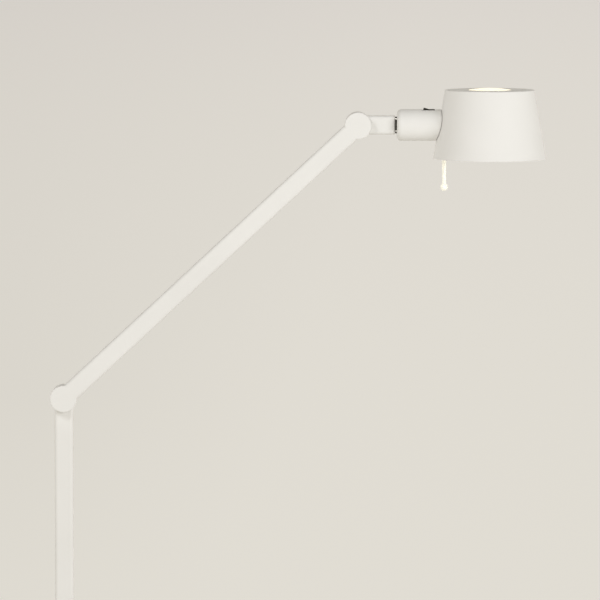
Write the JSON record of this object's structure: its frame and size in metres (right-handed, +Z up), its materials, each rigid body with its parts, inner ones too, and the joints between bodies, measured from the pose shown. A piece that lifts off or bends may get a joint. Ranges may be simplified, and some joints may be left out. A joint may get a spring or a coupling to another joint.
{
  "type": "adjustable arm floor lamp",
  "caption": "Floor lamp: weighted round base, flat-tube post and long arm with friction elbow joints, short link, swivelling conical shade with rocker switch and glass rod handle.",
  "frame": {"origin": "centre of the round base's underside, on the floor; it is also the post's centreline", "axes": "+Z up, +X from the post towards the shade, +Y towards the back of the lamp, where the cord inlet is"},
  "size_m": [0.7428, 0.2525, 1.297],
  "materials": {
    "white_paint": "satin",
    "zinc_steel": "satin",
    "lead_sheath": "matte",
    "pad_rubber": "matte",
    "cast_weight": "matte",
    "white_plastic": "satin",
    "nylon": "matte",
    "black_gloss": "gloss",
    "black_plastic": "satin",
    "brass": "satin",
    "bare_aluminium": "satin",
    "opal_acrylic": "satin",
    "holder_plastic": "satin",
    "bulb_cap_metal": "satin",
    "bulb_plastic": "satin",
    "opal_glass": "satin",
    "clear_glass": "polished"
  },
  "bodies": {
    "stand": {"base_pad": "pad_rubber", "base_plate": "zinc_steel", "base_plate_screws": "zinc_steel", "base_weight": "cast_weight", "base_cover": "white_paint", "cord_gland": "white_plastic", "cord_gland_nut": "white_plastic", "terminal_block": "white_plastic", "foot_flange": "white_paint", "foot_screws": "zinc_steel", "post_tube": "white_paint", "post_hub": "white_paint", "elbow_cap": "white_plastic", "post_lead": "lead_sheath"},
    "upper_arm": {"arm_tube": "white_paint", "arm_lower_hub": "white_paint", "arm_upper_hub": "white_paint", "elbow_shaft": "zinc_steel", "elbow_friction_washer": "nylon", "elbow_flat_washer": "zinc_steel", "elbow_disc_spring": "zinc_steel", "elbow_nut": "zinc_steel", "elbow_stop_pin": "zinc_steel", "wrist_shaft": "zinc_steel", "wrist_friction_washer": "nylon", "wrist_flat_washer": "zinc_steel", "wrist_disc_spring": "zinc_steel", "wrist_nut": "zinc_steel", "wrist_stop_pin": "zinc_steel", "arm_lead": "lead_sheath"},
    "link": {"link_arm": "white_paint", "wrist_cap": "white_plastic", "link_lead": "lead_sheath", "swivel_ring": "black_gloss", "swivel_shaft": "zinc_steel", "swivel_washer": "zinc_steel", "swivel_spring": "zinc_steel", "swivel_nut": "zinc_steel", "swivel_stop_pin": "zinc_steel"},
    "head": {"housing": "white_paint", "mouth_flange": "bare_aluminium", "clamp_ring": "bare_aluminium", "clamp_screws": "zinc_steel", "shade": "white_paint", "top_diffuser": "opal_acrylic", "lampholder": "holder_plastic", "lampholder_ring": "holder_plastic", "thread_sleeve": "brass", "centre_contact": "brass", "bulb_cap": "bulb_cap_metal", "bulb_collar": "bulb_plastic", "bulb_globe": "opal_glass", "glass_rod": "clear_glass", "switch_body": "black_plastic", "switch_terminals": "brass", "head_lead": "lead_sheath"},
    "rocker": {"rocker": "black_gloss"}
  },
  "joints": [
    {"name": "elbow", "type": "hinge", "parent": "stand", "child": "upper_arm", "pos_m": [0, 0, 0.9], "axis": [0, 1, 0], "range_deg": [-177.3, 82.7]},
    {"name": "wrist", "type": "hinge", "parent": "upper_arm", "child": "link", "pos_m": [0.37692, 0, 1.24976], "axis": [0, 1, 0], "range_deg": [-172.7, 87.3]},
    {"name": "head_swivel", "type": "hinge", "parent": "link", "child": "head", "pos_m": [0.42682, 0, 1.24976], "axis": [1, 0, 0], "range_deg": [-160, 160]},
    {"name": "rocker_tilt", "type": "hinge", "parent": "head", "child": "rocker", "pos_m": [0.46732, 0, 1.26436], "axis": [0, 1, 0], "range_deg": [-16, 0]}
  ]
}
